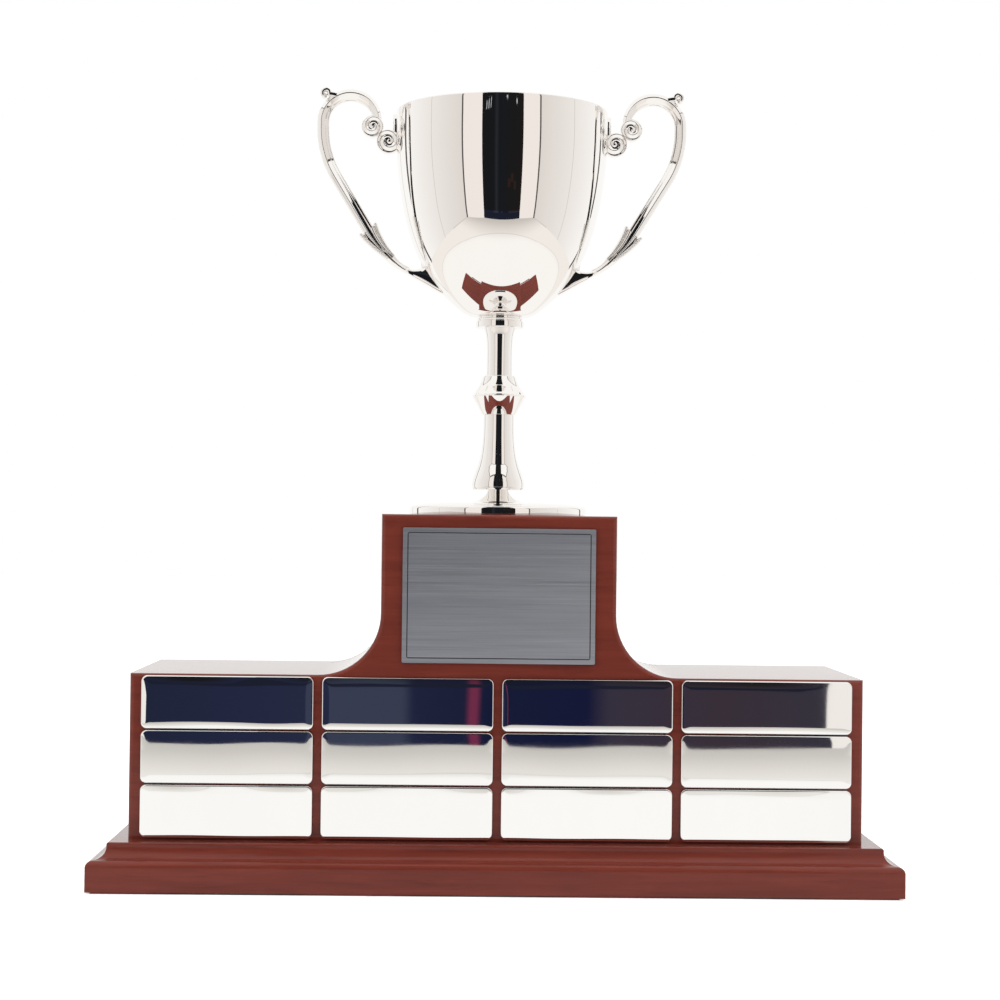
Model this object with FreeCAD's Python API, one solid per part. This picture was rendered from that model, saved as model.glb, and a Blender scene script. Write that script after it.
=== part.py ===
import FreeCAD, Part
import math
import os

os.makedirs("parts", exist_ok=True)

# A two-handled cup on a stepped timber block with a moulded plinth.
# Millimetres. +Z is up, the front faces -Y, the origin is the middle of the underside.

# ---- driving dimensions: timber ----
block_depth = 106.0
block_side_margin = 5.45
shoulder_margin = 0.8
header_side_margin = 10.0
header_top_margin = 6.15
cove_radius = 29.0
board_thickness = 12.0
arris_radius = 2.0
cleat_size = 15.0

plinth_side_margin = 16.25
plinth_front_margin = 20.0
plinth_face_height = 11.2
plinth_round = 3.0
plinth_cove = 5.4
plinth_upstand = 1.2
plinth_top_round = 0.8
felt_thickness = 0.8
felt_inset = 2.0

wood_screw_diameter = 4.0
wood_screw_cover = 2.6
wood_screw_head = 8.0
wood_screw_spacing = 130.0

# ---- driving dimensions: plates ----
plate_rows = 3
plate_columns = 4
plate_width = 80.0
plate_height = 24.7
plate_gap_x = 3.7
plate_gap_z = 0.55
plate_corner = 2.8
plate_edge = 0.6
plate_dome = 0.9
adhesive_thickness = 0.4
adhesive_inset = 2.5

header_plate_width = 90.0
header_plate_height = 63.0
header_plate_thickness = 0.9
border_margin = 2.1
border_line = 0.5
border_depth = 0.12

# ---- driving dimensions: cup ----
rod_diameter = 6.0
rod_clearance = 0.3
rod_overhang = 1.6
nut_width = 10.0
nut_height = 5.0
washer_diameter = 18.0
washer_thickness = 1.5

foot_radius = 43.3
foot_edge = 4.6
foot_dome = 1.9
foot_height = 12.5
foot_cone_radius = 12.2
foot_neck_radius = 5.0
foot_wall = 1.3

lower_stem_height = 37.1
lower_lip_radius = 12.8
lower_neck_radius = 7.5
knop_height = 19.1
knop_radius = 13.1
knop_foot_radius = 8.2
knop_head_radius = 7.8
upper_stem_height = 23.6
upper_stem_radius = 6.2
upper_stem_flare = 7.7
cap_height = 5.1
cap_collar_radius = 11.7
cap_collar_height = 4.6
cap_collar_round = 0.6

rim_radius = 52.1
rim_bead = 0.75
bowl_wall = 1.1
bowl_upright = 8.6
bowl_side_bend = 194.5
bowl_side_angle = 13.2
bowl_belly_bend = 103.5
bowl_belly_angle = 22.5
bowl_base_bend = 68.6
bowl_base_angle = 54.2
bowl_seat_angle = 88.0
bowl_seat_radius = 10.4

# ---- driving dimensions: handles ----
arm_width = 5.8
arm_depth = 7.0
arch_radius = 13.4
arch_drop = 3.2
upper_bend_radius = 45.0
upper_bend_angle = 31.5
lower_bend_radius = 46.0
lower_bend_angle = 65.0
small_volute_radius = 5.9
large_volute_radius = 5.4
volute_depth = 9.0
volute_seat = 3.8
volute_drop = 15.2
thumb_radius = 3.4
leaf_width = 9.3
leaf_depth = 9.4
mount_depth = 12.0
handle_screw_diameter = 3.0
handle_screw_length = 4.0
handle_screw_head = 5.4
handle_screw_head_height = 1.7
screw_clearance = 0.2

# ---- widths, heights and faces worked out from the sizes above ----
plate_pitch_x = plate_width + plate_gap_x
plate_pitch_z = plate_height + plate_gap_z
block_width = plate_columns * plate_pitch_x - plate_gap_x + 2 * block_side_margin
shoulder_height = plate_rows * plate_pitch_z - plate_gap_z + 2 * shoulder_margin
header_width = header_plate_width + 2 * header_side_margin
header_height = header_plate_height + 2 * header_top_margin
plinth_thickness = plinth_face_height + plinth_round + plinth_cove + plinth_upstand + plinth_top_round
wood_screw_length = plinth_thickness + cleat_size - wood_screw_cover
plinth_bottom = felt_thickness
plinth_top = plinth_bottom + plinth_thickness
shoulder_top = plinth_top + shoulder_height
block_top = shoulder_top + header_height
front_face = -block_depth / 2
foot_top = block_top + foot_height
lower_stem_top = foot_top + lower_stem_height
knop_top = lower_stem_top + knop_height
upper_stem_top = knop_top + upper_stem_height
bowl_bottom = upper_stem_top + cap_height
bore = rod_diameter / 2 + rod_clearance
half_block = block_width / 2
half_header = header_width / 2
half_arm = arm_width / 2

X = FreeCAD.Vector(1, 0, 0)
Y = FreeCAD.Vector(0, 1, 0)
Z = FreeCAD.Vector(0, 0, 1)
ORIGIN = FreeCAD.Vector(0, 0, 0)


# ---- helpers ----
def save(name, shape):
    shape.exportStep("parts/" + name + ".step")


def save_group(name, shapes):
    save(name, Part.makeCompound(shapes))


def on_front(u, v):
    return FreeCAD.Vector(u, 0, v)


def on_side(u, v):
    return FreeCAD.Vector(0, u, v)


def edges_along(place, start, moves):
    """Edges of an outline. A move of one point is a line, of two an arc, of more a curve."""
    edges = []
    here = place(*start)
    for move in moves:
        points = [place(*point) for point in move]
        if len(points) == 1:
            edges.append(Part.makeLine(here, points[0]))
        elif len(points) == 2:
            edges.append(Part.Arc(here, points[0], points[1]).toShape())
        else:
            curve = Part.BSplineCurve()
            curve.interpolate([here] + points)
            edges.append(curve.toShape())
        here = points[-1]
    return edges


def face_inside(edges):
    return Part.Face(Part.Wire(Part.__sortEdges__(edges)))


def turned(start, moves):
    """A solid of revolution about Z from a closed outline of (radius, height) points."""
    edges = edges_along(on_front, start, moves + [[start]])
    return face_inside(edges).revolve(ORIGIN, Z, 360)


def slab(place, start, moves, direction, low, high):
    """A closed outline pushed along a direction from low to high."""
    face = face_inside(edges_along(place, start, moves + [[start]]))
    face.translate(direction * low)
    return face.extrude(direction * (high - low))


def symmetric_face(place, start, moves):
    """A face whose left half is the outline given; the right half is its mirror image."""
    left = edges_along(place, start, moves)
    across = place(1, 0)
    right = [edge.mirror(ORIGIN, across) for edge in left]
    last = moves[-1][-1]
    bottom = Part.makeLine(place(*start), place(-start[0], start[1]))
    top = Part.makeLine(place(*last), place(-last[0], last[1]))
    return face_inside(left + right + [bottom, top])


def block(x_range, y_range, z_range):
    size = [high - low for low, high in (x_range, y_range, z_range)]
    corner = FreeCAD.Vector(x_range[0], y_range[0], z_range[0])
    return Part.makeBox(size[0], size[1], size[2], corner)


def rod(diameter, length, base, direction):
    return Part.makeCylinder(diameter / 2, length, base, direction)


def ring(outer_radius, inner_radius, bottom, height):
    base = Z * bottom
    outer = Part.makeCylinder(outer_radius, height, base, Z)
    return outer.cut(Part.makeCylinder(inner_radius, height, base, Z))


def rounded_rectangle(width, height, radius, front, thickness, centre_x, centre_z):
    plain = block(
        (centre_x - width / 2, centre_x + width / 2),
        (front, front + thickness),
        (centre_z - height / 2, centre_z + height / 2),
    )
    corners = [edge for edge in plain.Edges if abs(edge.tangentAt(edge.FirstParameter).y) > 0.9]
    return plain.makeFillet(radius, corners)


def arc_point(centre, radius, degrees):
    angle = math.radians(degrees)
    return (centre[0] + radius * math.cos(angle), centre[1] + radius * math.sin(angle))


# ---- plinth ----
def plinth_section(place, half_width):
    """Upright face, rounded shoulder, cove and a small rounded top edge."""
    face_top = plinth_bottom + plinth_face_height
    round_centre = (-half_width + plinth_round, face_top)
    ledge = (-half_width + plinth_round, face_top + plinth_round)
    cove_centre = (ledge[0], ledge[1] + plinth_cove)
    cove_end = (cove_centre[0] + plinth_cove, cove_centre[1])
    top_centre = (cove_end[0] + plinth_top_round, plinth_top - plinth_top_round)
    moves = [
        [(-half_width, face_top)],
        [arc_point(round_centre, plinth_round, 135), ledge],
        [arc_point(cove_centre, plinth_cove, -45), cove_end],
        [(cove_end[0], top_centre[1])],
        [arc_point(top_centre, plinth_top_round, 135), (top_centre[0], plinth_top)],
    ]
    return symmetric_face(place, (-half_width, plinth_bottom), moves)


def cleat_middle():
    return block_depth / 2 - board_thickness - cleat_size / 2


def wood_screw_places():
    return [(x, side * cleat_middle()) for x in (-wood_screw_spacing, 0, wood_screw_spacing) for side in (-1, 1)]


def wood_screw(x, y):
    """A countersunk screw standing on its head, with a pointed end."""
    head_height = (wood_screw_head - wood_screw_diameter) / 2
    point_height = wood_screw_diameter
    radius = wood_screw_diameter / 2
    shape = turned(
        (0, 0),
        [
            [(wood_screw_head / 2, 0)],
            [(radius, head_height)],
            [(radius, wood_screw_length - point_height)],
            [(0, wood_screw_length)],
        ],
    )
    shape.translate(FreeCAD.Vector(x, y, plinth_bottom))
    return shape


def build_plinth():
    half_width = half_block + plinth_side_margin
    half_depth = block_depth / 2 + plinth_front_margin
    along_x = plinth_section(on_side, half_depth)
    along_x.translate(X * -half_width)
    along_y = plinth_section(on_front, half_width)
    along_y.translate(Y * -half_depth)
    plinth = along_x.extrude(X * 2 * half_width).common(along_y.extrude(Y * 2 * half_depth))
    for x, y in wood_screw_places():
        plinth = plinth.cut(wood_screw(x, y))
    save("plinth", plinth)
    felt = block(
        (felt_inset - half_width, half_width - felt_inset),
        (felt_inset - half_depth, half_depth - felt_inset),
        (0, felt_thickness),
    )
    upright = [edge for edge in felt.Edges if abs(edge.tangentAt(edge.FirstParameter).z) > 0.9]
    save("felt_base", felt.makeFillet(felt_inset, upright))
    save_group("plinth_screws", [wood_screw(x, y) for x, y in wood_screw_places()])


# ---- timber block ----
def stepped_face():
    """The full front outline: shoulders, coves and header."""
    cove_centre = (-half_header - cove_radius, shoulder_top + cove_radius)
    moves = [
        [(-half_block, shoulder_top)],
        [(cove_centre[0], shoulder_top)],
        [arc_point(cove_centre, cove_radius, -45), (-half_header, cove_centre[1])],
        [(-half_header, block_top)],
    ]
    return symmetric_face(on_front, (-half_block, plinth_top), moves)


def stepped_board(outer_face, direction):
    """A board of the full outline, its outer edges softened except where it meets the plinth."""
    face = stepped_face()
    face.translate(Y * outer_face)
    board = face.extrude(Y * direction * board_thickness)
    outer_edges = []
    for edge in board.Edges:
        box = edge.BoundBox
        flat_on_face = abs(box.YMin - outer_face) < 0.01 and abs(box.YMax - outer_face) < 0.01
        if flat_on_face and box.ZMax > plinth_top + 0.01:
            outer_edges.append(edge)
    return board.makeFillet(arris_radius, outer_edges)


def build_block():
    between = (front_face + board_thickness, -front_face - board_thickness)
    shoulder_bottom = shoulder_top - board_thickness
    cove_top = shoulder_top + cove_radius
    cove_end = half_header + cove_radius
    header_inside = half_header - board_thickness
    top_bottom = block_top - board_thickness
    save("front_board", stepped_board(front_face, 1))
    save("back_board", stepped_board(-front_face, -1))
    cove_centre = (cove_end, cove_top)
    cove_moves = [
        [arc_point(cove_centre, cove_radius, 225), (cove_end, shoulder_top)],
        [(cove_end, shoulder_bottom)],
        [(header_inside, shoulder_bottom)],
        [(header_inside, cove_top)],
    ]
    right = {
        "end_panel": block((half_block - board_thickness, half_block), between, (plinth_top, shoulder_bottom)),
        "shoulder_panel": block((cove_end, half_block), between, (shoulder_bottom, shoulder_top)),
        "cove_block": slab(on_front, (half_header, cove_top), cove_moves, Y, between[0], between[1]),
        "header_side": block((header_inside, half_header), between, (cove_top, top_bottom)),
    }
    for name, shape in right.items():
        save(name + "_right", shape)
        save(name + "_left", shape.mirror(ORIGIN, X))
    top_panel = block((-half_header, half_header), between, (top_bottom, block_top))
    save("top_panel", top_panel.cut(rod(2 * bore, board_thickness, Z * top_bottom, Z)))
    cleat_reach = half_block - board_thickness
    for name, side in (("front", -1), ("back", 1)):
        inner = side * (block_depth / 2 - board_thickness - cleat_size)
        outer = side * (block_depth / 2 - board_thickness)
        cleat = block(
            (-cleat_reach, cleat_reach),
            (min(inner, outer), max(inner, outer)),
            (plinth_top, plinth_top + cleat_size),
        )
        for x, y in wood_screw_places():
            cleat = cleat.cut(wood_screw(x, y))
        save("base_cleat_" + name, cleat)


# ---- plates ----
def name_plate(centre_x, centre_z):
    """A plate with rounded corners and a face domed across its height."""
    back = front_face - adhesive_thickness
    thickness = plate_edge + plate_dome
    plate = rounded_rectangle(
        plate_width, plate_height, plate_corner, back - thickness, thickness, centre_x, centre_z
    )
    half_height = plate_height / 2
    dome_radius = half_height ** 2 / (2 * plate_dome) + plate_dome / 2
    axis_point = FreeCAD.Vector(centre_x - plate_width, back - thickness + dome_radius, centre_z)
    return plate.common(Part.makeCylinder(dome_radius, 2 * plate_width, axis_point, X))


def adhesive_pad(width, height, centre_x, centre_z):
    return block(
        (centre_x - width / 2 + adhesive_inset, centre_x + width / 2 - adhesive_inset),
        (front_face - adhesive_thickness, front_face),
        (centre_z - height / 2 + adhesive_inset, centre_z + height / 2 - adhesive_inset),
    )


def build_plates():
    middle_z = (plinth_top + shoulder_top) / 2
    pads = []
    for row in range(plate_rows):
        centre_z = middle_z + ((plate_rows - 1) / 2 - row) * plate_pitch_z
        for column in range(plate_columns):
            centre_x = (column - (plate_columns - 1) / 2) * plate_pitch_x
            save("name_plate_%d_%d" % (row + 1, column + 1), name_plate(centre_x, centre_z))
            pads.append(adhesive_pad(plate_width, plate_height, centre_x, centre_z))
    save_group("name_plate_adhesive", pads)


def border_frame(front, centre_z):
    """The shallow line cut round the header plate."""
    outer_margin = 2 * border_margin
    inner_margin = outer_margin + 2 * border_line
    outer = rounded_rectangle(
        header_plate_width - outer_margin, header_plate_height - outer_margin, 1.0,
        front, border_depth, 0, centre_z,
    )
    inner = rounded_rectangle(
        header_plate_width - inner_margin, header_plate_height - inner_margin, 0.6,
        front, border_depth, 0, centre_z,
    )
    return outer.cut(inner)


def build_header_plate():
    centre_z = (shoulder_top + block_top) / 2
    front = front_face - adhesive_thickness - header_plate_thickness
    plate = rounded_rectangle(
        header_plate_width, header_plate_height, 0.8, front, header_plate_thickness, 0, centre_z
    )
    save("header_plate", plate.cut(border_frame(front, centre_z)))
    save("header_plate_adhesive", adhesive_pad(header_plate_width, header_plate_height, 0, centre_z))


# ---- foot and stem ----
def build_foot():
    """A spun foot disc with a concave cone, over a core that fills it."""
    bottom = block_top
    edge_top = bottom + foot_edge
    cone_bottom = edge_top + foot_dome
    edge_round = foot_edge / 3
    round_centre = (foot_radius - edge_round, edge_top - edge_round)
    cavity_radius = foot_radius - foot_wall
    cavity_edge = edge_top - foot_wall
    cavity_top = cone_bottom - foot_wall
    cone_middle = ((foot_cone_radius + 2 * foot_neck_radius) / 3, cone_bottom + 0.45 * (foot_top - cone_bottom))
    foot = turned(
        (cavity_radius, bottom),
        [
            [(foot_radius, bottom)],
            [(foot_radius, round_centre[1])],
            [arc_point(round_centre, edge_round, 45), (round_centre[0], edge_top)],
            [(foot_cone_radius, cone_bottom)],
            [cone_middle, (foot_neck_radius, foot_top)],
            [(bore, foot_top)],
            [(bore, cavity_top)],
            [(foot_cone_radius, cavity_top)],
            [(cavity_radius, cavity_edge)],
        ],
    )
    save("cup_foot", foot)
    core = turned(
        (bore, bottom),
        [
            [(cavity_radius, bottom)],
            [(cavity_radius, cavity_edge)],
            [(foot_cone_radius, cavity_top)],
            [(bore, cavity_top)],
        ],
    )
    save("foot_core", core)


def build_stem():
    """Lower column, knop, upper column and cap, stacked round the rod."""
    lip_top = foot_top + 0.134 * lower_stem_height
    lower = turned(
        (bore, foot_top),
        [
            [(foot_neck_radius, foot_top)],
            [(lower_lip_radius - 0.3, foot_top + 0.4)],
            [(lower_lip_radius, foot_top + 0.5 * (lip_top - foot_top)), (lower_lip_radius - 0.1, lip_top)],
            [
                (lower_lip_radius - 1.0, foot_top + 0.216 * lower_stem_height),
                (lower_neck_radius + 2.65, foot_top + 0.336 * lower_stem_height),
                (lower_neck_radius + 1.1, foot_top + 0.497 * lower_stem_height),
                (lower_neck_radius + 0.12, foot_top + 0.738 * lower_stem_height),
                (lower_neck_radius, foot_top + 0.9 * lower_stem_height),
            ],
            [(lower_neck_radius, lower_stem_top)],
            [(bore, lower_stem_top)],
        ],
    )
    save("stem_lower", lower)
    edge_z = lower_stem_top + 0.476 * knop_height
    knop = turned(
        (bore, lower_stem_top),
        [
            [(knop_foot_radius, lower_stem_top)],
            [(knop_radius - 0.2, edge_z - 0.6)],
            [(knop_radius, edge_z), (knop_radius - 0.3, edge_z + 0.6)],
            [
                (knop_radius - 2.1, lower_stem_top + 0.68 * knop_height),
                (knop_radius - 3.75, lower_stem_top + 0.785 * knop_height),
                (knop_head_radius, knop_top),
            ],
            [(bore, knop_top)],
        ],
    )
    save("stem_knop", knop)
    upper = turned(
        (bore, knop_top),
        [
            [(upper_stem_radius, knop_top)],
            [
                (upper_stem_radius, knop_top + 0.45 * upper_stem_height),
                (upper_stem_radius + 0.5, knop_top + 0.75 * upper_stem_height),
                (upper_stem_flare, upper_stem_top),
            ],
            [(bore, upper_stem_top)],
        ],
    )
    save("stem_upper", upper)
    collar_top = upper_stem_top + cap_collar_height
    low_centre = (cap_collar_radius - cap_collar_round, upper_stem_top + cap_collar_round)
    high_centre = (low_centre[0], collar_top - cap_collar_round)
    cap = turned(
        (bore, upper_stem_top),
        [
            [(low_centre[0], upper_stem_top)],
            [arc_point(low_centre, cap_collar_round, -45), (cap_collar_radius, low_centre[1])],
            [(cap_collar_radius, high_centre[1])],
            [arc_point(high_centre, cap_collar_round, 45), (high_centre[0], collar_top)],
            [(bowl_seat_radius, collar_top)],
            [(bowl_seat_radius, bowl_bottom)],
            [(bore, bowl_bottom)],
        ],
    )
    save("stem_cap", cap)


# ---- bowl ----
def bowl_bend(station, radius, angle):
    """The next station down an arc. A station is (radius, height, degrees from upright)."""
    start, end = math.radians(station[2]), math.radians(angle)
    inward = radius * (math.cos(start) - math.cos(end))
    down = radius * (math.sin(end) - math.sin(start))
    return (station[0] - inward, station[1] - down, angle)


def bowl_run(station, length):
    """The next station down a straight stretch."""
    slope = math.radians(station[2])
    return (station[0] - length * math.sin(slope), station[1] - length * math.cos(slope), station[2])


def bowl_stations(rim_height):
    """The outside of the bowl from the rim down to its seat."""
    rim = (rim_radius, rim_height, 0)
    upright = bowl_run(rim, bowl_upright)
    side = bowl_bend(upright, bowl_side_bend, bowl_side_angle)
    belly = bowl_bend(side, bowl_belly_bend, bowl_belly_angle)
    base = bowl_bend(belly, bowl_base_bend, bowl_base_angle)
    closing = math.cos(math.radians(bowl_base_angle)) - math.cos(math.radians(bowl_seat_angle))
    seat = bowl_bend(base, (base[0] - bowl_seat_radius) / closing, bowl_seat_angle)
    return [rim, upright, side, belly, base, seat]


bowl_height = -bowl_stations(0)[-1][1]
rim_top = bowl_bottom + bowl_height


def bend_centre(upper, lower):
    """Centre and radius of the arc between two stations."""
    start, end = math.radians(upper[2]), math.radians(lower[2])
    radius = (upper[0] - lower[0]) / (math.cos(start) - math.cos(end))
    return (upper[0] - radius * math.cos(start), upper[1] + radius * math.sin(start)), radius


def inset_point(station, inset):
    slope = math.radians(station[2])
    return (station[0] - inset * math.cos(slope), station[1] + inset * math.sin(slope))


def bowl_moves(inset):
    """Start and moves of the wall from rim to seat, set inwards by a distance."""
    stations = bowl_stations(rim_top)
    moves = []
    for upper, lower in zip(stations, stations[1:]):
        if upper[2] == lower[2]:
            moves.append([inset_point(lower, inset)])
        else:
            centre, radius = bend_centre(upper, lower)
            middle = arc_point(centre, radius - inset, -(upper[2] + lower[2]) / 2)
            moves.append([middle, inset_point(lower, inset)])
    return inset_point(stations[0], inset), moves


def bowl_surface(height):
    """Point and outward direction on the outside of the bowl at a height, in the XZ plane."""
    stations = bowl_stations(rim_top)
    for upper, lower in zip(stations, stations[1:]):
        if height >= lower[1]:
            break
    if upper[2] == lower[2]:
        slope = math.radians(upper[2])
        radius = upper[0] - (upper[1] - height) * math.tan(slope)
    else:
        centre, bend = bend_centre(upper, lower)
        slope = math.asin((centre[1] - height) / bend)
        radius = centre[0] + bend * math.cos(slope)
    return on_front(radius, height), on_front(math.cos(slope), -math.sin(slope))


def bowl_radius(height):
    return bowl_surface(height)[0].x


def bowl_envelope():
    """Everything inside the outer surface of the bowl, and above it."""
    start, moves = bowl_moves(0)
    above = rim_top + bowl_height
    return turned((0, above), [[(rim_radius, above)], [start]] + moves + [[(0, moves[-1][-1][1])]])


def bowl_shell():
    """The spun wall, with a rounded bead along the rim and a hole for the rod."""
    _, outer = bowl_moves(0)
    _, inner = bowl_moves(bowl_wall)
    bead_centre = (rim_radius - rim_bead, rim_top - rim_bead)
    bead_inside = (bead_centre[0] - rim_bead, bead_centre[1])
    under_bead = (rim_radius - bowl_wall, rim_top - 2 * rim_bead)
    inside = edges_along(on_front, under_bead, inner)
    outside = edges_along(on_front, (rim_radius, bead_centre[1]), outer)
    seat_inside = inner[-1][-1]
    bead = edges_along(
        on_front,
        (rim_radius, bead_centre[1]),
        [[arc_point(bead_centre, rim_bead, 90), bead_inside], [under_bead]],
    )
    base = edges_along(
        on_front, outer[-1][-1], [[(bore, bowl_bottom)], [(bore, seat_inside[1])], [seat_inside]]
    )
    return face_inside(inside + outside + bead + base).revolve(ORIGIN, Z, 360)


# ---- handles, modelled on the right and mirrored ----
small_volute_z = rim_top - volute_drop
small_volute = (bowl_radius(small_volute_z) + volute_seat, small_volute_z)
volute_spacing = small_volute_radius + large_volute_radius - 0.6
large_volute = arc_point(small_volute, volute_spacing, 43)
arch_centre = (large_volute[0] - large_volute_radius + half_arm + arch_radius, large_volute[1] + 2.0)
arm_run = 0.315 * bowl_height
mount_top = bowl_bottom + 0.245 * bowl_height
mount_bottom = bowl_bottom + 0.11 * bowl_height


def handle_path():
    """Centre line of the arm: arch, short drop, outward bend, straight run and inward bend."""
    start = (arch_centre[0] - arch_radius, arch_centre[1])
    crown = (arch_centre[0], arch_centre[1] + arch_radius)
    outer = (arch_centre[0] + arch_radius, arch_centre[1])
    bend_start = (outer[0], outer[1] - arch_drop)
    bend_centre = (bend_start[0] - upper_bend_radius, bend_start[1])
    bend_middle = arc_point(bend_centre, upper_bend_radius, -upper_bend_angle / 2)
    bend_end = arc_point(bend_centre, upper_bend_radius, -upper_bend_angle)
    slope = math.radians(upper_bend_angle)
    run_end = (bend_end[0] - arm_run * math.sin(slope), bend_end[1] - arm_run * math.cos(slope))
    lower_centre = arc_point(run_end, lower_bend_radius, 180 - upper_bend_angle)
    turn = (upper_bend_angle + lower_bend_angle) / 2
    lower_middle = arc_point(lower_centre, lower_bend_radius, -turn)
    lower_end = arc_point(lower_centre, lower_bend_radius, -lower_bend_angle)
    moves = [[crown, outer], [bend_start], [bend_middle, bend_end], [run_end], [lower_middle, lower_end]]
    return start, moves, lower_centre


def arm():
    start, moves, _ = handle_path()
    path = Part.Wire(edges_along(on_front, start, moves))
    section = Part.makePlane(arm_width, arm_depth, on_front(*start) - X * half_arm - Y * arm_depth / 2, Z)
    corner = arm_width / 3
    bar = section.extrude(Z)
    upright = [edge for edge in bar.Edges if abs(edge.tangentAt(edge.FirstParameter).z) > 0.9]
    rounded = bar.makeFillet(corner, upright)
    bottom = [face for face in rounded.Faces if face.BoundBox.ZMax < start[1] + 0.01][0]
    return path.makePipeShell([bottom.OuterWire], True, True)


def volute(centre, radius, depth):
    base = FreeCAD.Vector(centre[0], -depth / 2, centre[1])
    disc = Part.makeCylinder(radius, depth, base, Y)
    return disc.makeFillet(depth / 8, [edge for edge in disc.Edges if len(edge.Vertexes) == 1 and edge.Closed])


def leaf_wrap():
    """The acanthus leaf round the lower bend, widest at its upper tips."""
    centre = handle_path()[2]
    stations = [
        (upper_bend_angle - 3, 1.0), (upper_bend_angle + 6, 0.92),
        (upper_bend_angle + 15, 0.76), (lower_bend_angle - 6, 0.62),
    ]
    half = leaf_width / 2
    outer = [arc_point(centre, lower_bend_radius + half * share, -angle) for angle, share in stations]
    inner = [arc_point(centre, lower_bend_radius - half * share, -angle) for angle, share in stations]
    moves = [outer[1:], [inner[-1]], inner[-2::-1]]
    return slab(on_front, outer[0], moves, Y, -leaf_depth / 2, leaf_depth / 2)


def mount_wedge():
    """The three-cornered foot that carries the lower end of the arm on the bowl."""
    inset = 2.0
    start, moves, centre = handle_path()
    above = arc_point(centre, lower_bend_radius - half_arm, -lower_bend_angle + 8)
    below = arc_point(centre, lower_bend_radius + 2 * half_arm, -lower_bend_angle + 2)
    top = (bowl_radius(mount_top) - inset, mount_top)
    bottom = (bowl_radius(mount_bottom) - inset, mount_bottom)
    return slab(on_front, top, [[above], [below], [bottom]], Y, -mount_depth / 2, mount_depth / 2)


def bowl_tongue():
    """The thin leaf that lies up the side of the bowl above the small volute."""
    low = small_volute_z
    high = rim_top - 3.5
    near = bowl_radius(low) - 1.5
    far = rim_radius + 1.6
    moves = [[(far, low)], [(far, high - 3)], [(near, high)]]
    return slab(on_front, (near, low), moves, Y, -volute_depth / 4, volute_depth / 4)


def handle_screw_lines():
    """Where each handle screw bears inside the bowl, and the way it points."""
    upper, _ = bowl_surface(small_volute_z)
    lower, outward = bowl_surface(mount_bottom + 0.72 * (mount_top - mount_bottom))
    return [(upper, X), (lower, outward)]


def handle_screw(surface, direction):
    """A pan-head screw whose head bears on the inside of the wall."""
    sagitta = (handle_screw_head / 2) ** 2 / (2 * surface.x) + 0.03
    under_head = surface - direction * (bowl_wall + sagitta)
    length = handle_screw_length + bowl_wall + sagitta
    shank = rod(handle_screw_diameter, length, under_head, direction)
    head = rod(handle_screw_head, handle_screw_head_height, under_head, direction * -1)
    return shank.fuse(head)


def build_bowl_and_handles():
    thumb = (
        arch_centre[0] + 0.66 * (arch_radius + half_arm + thumb_radius - 1.0),
        arch_centre[1] + 0.75 * (arch_radius + half_arm + thumb_radius - 1.0),
    )
    handle = arm()
    additions = [
        volute(small_volute, small_volute_radius, volute_depth),
        volute(large_volute, large_volute_radius, volute_depth),
        volute(thumb, thumb_radius, volute_depth - 1),
        leaf_wrap(),
        mount_wedge(),
        bowl_tongue(),
    ]
    handle = handle.multiFuse(additions)
    handle = handle.cut(bowl_envelope())
    shell = bowl_shell()
    screws = []
    for surface, direction in handle_screw_lines():
        screw = handle_screw(surface, direction)
        handle = handle.cut(screw)
        hole = rod(handle_screw_diameter + 2 * screw_clearance, 12.0, surface - direction * 4, direction)
        shell = shell.cut(hole).cut(hole.mirror(ORIGIN, X))
        screws += [screw, screw.mirror(ORIGIN, X)]
    save("cup_bowl", shell)
    save("handle_right", handle)
    save("handle_left", handle.mirror(ORIGIN, X))
    save_group("handle_screws", screws)


# ---- the rod that clamps the cup to the block ----
def hexagon_nut(bottom):
    corner_radius = nut_width / math.sqrt(3)
    corners = [FreeCAD.Vector(*arc_point((0, 0), corner_radius, 60 * n), bottom) for n in range(7)]
    nut = Part.Face(Part.makePolygon(corners)).extrude(Z * nut_height)
    return nut.cut(rod(rod_diameter, nut_height, Z * bottom, Z))


def build_rod():
    washer_top = block_top - board_thickness
    washer_bottom = washer_top - washer_thickness
    nut_bottom = washer_bottom - nut_height
    bowl_inside = bowl_bottom + bowl_wall
    upper_nut_bottom = bowl_inside + washer_thickness
    rod_bottom = nut_bottom - rod_overhang
    rod_top = upper_nut_bottom + nut_height + rod_overhang
    save("tie_rod", rod(rod_diameter, rod_top - rod_bottom, Z * rod_bottom, Z))
    save("base_washer", ring(washer_diameter / 2, bore, washer_bottom, washer_thickness))
    save("base_nut", hexagon_nut(nut_bottom))
    save("bowl_washer", ring(bowl_seat_radius - 1, bore, bowl_inside, washer_thickness))
    save("bowl_nut", hexagon_nut(upper_nut_bottom))


build_plinth()
build_block()
build_plates()
build_header_plate()
build_foot()
build_stem()
build_bowl_and_handles()
build_rod()
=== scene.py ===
import math
import random

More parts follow.
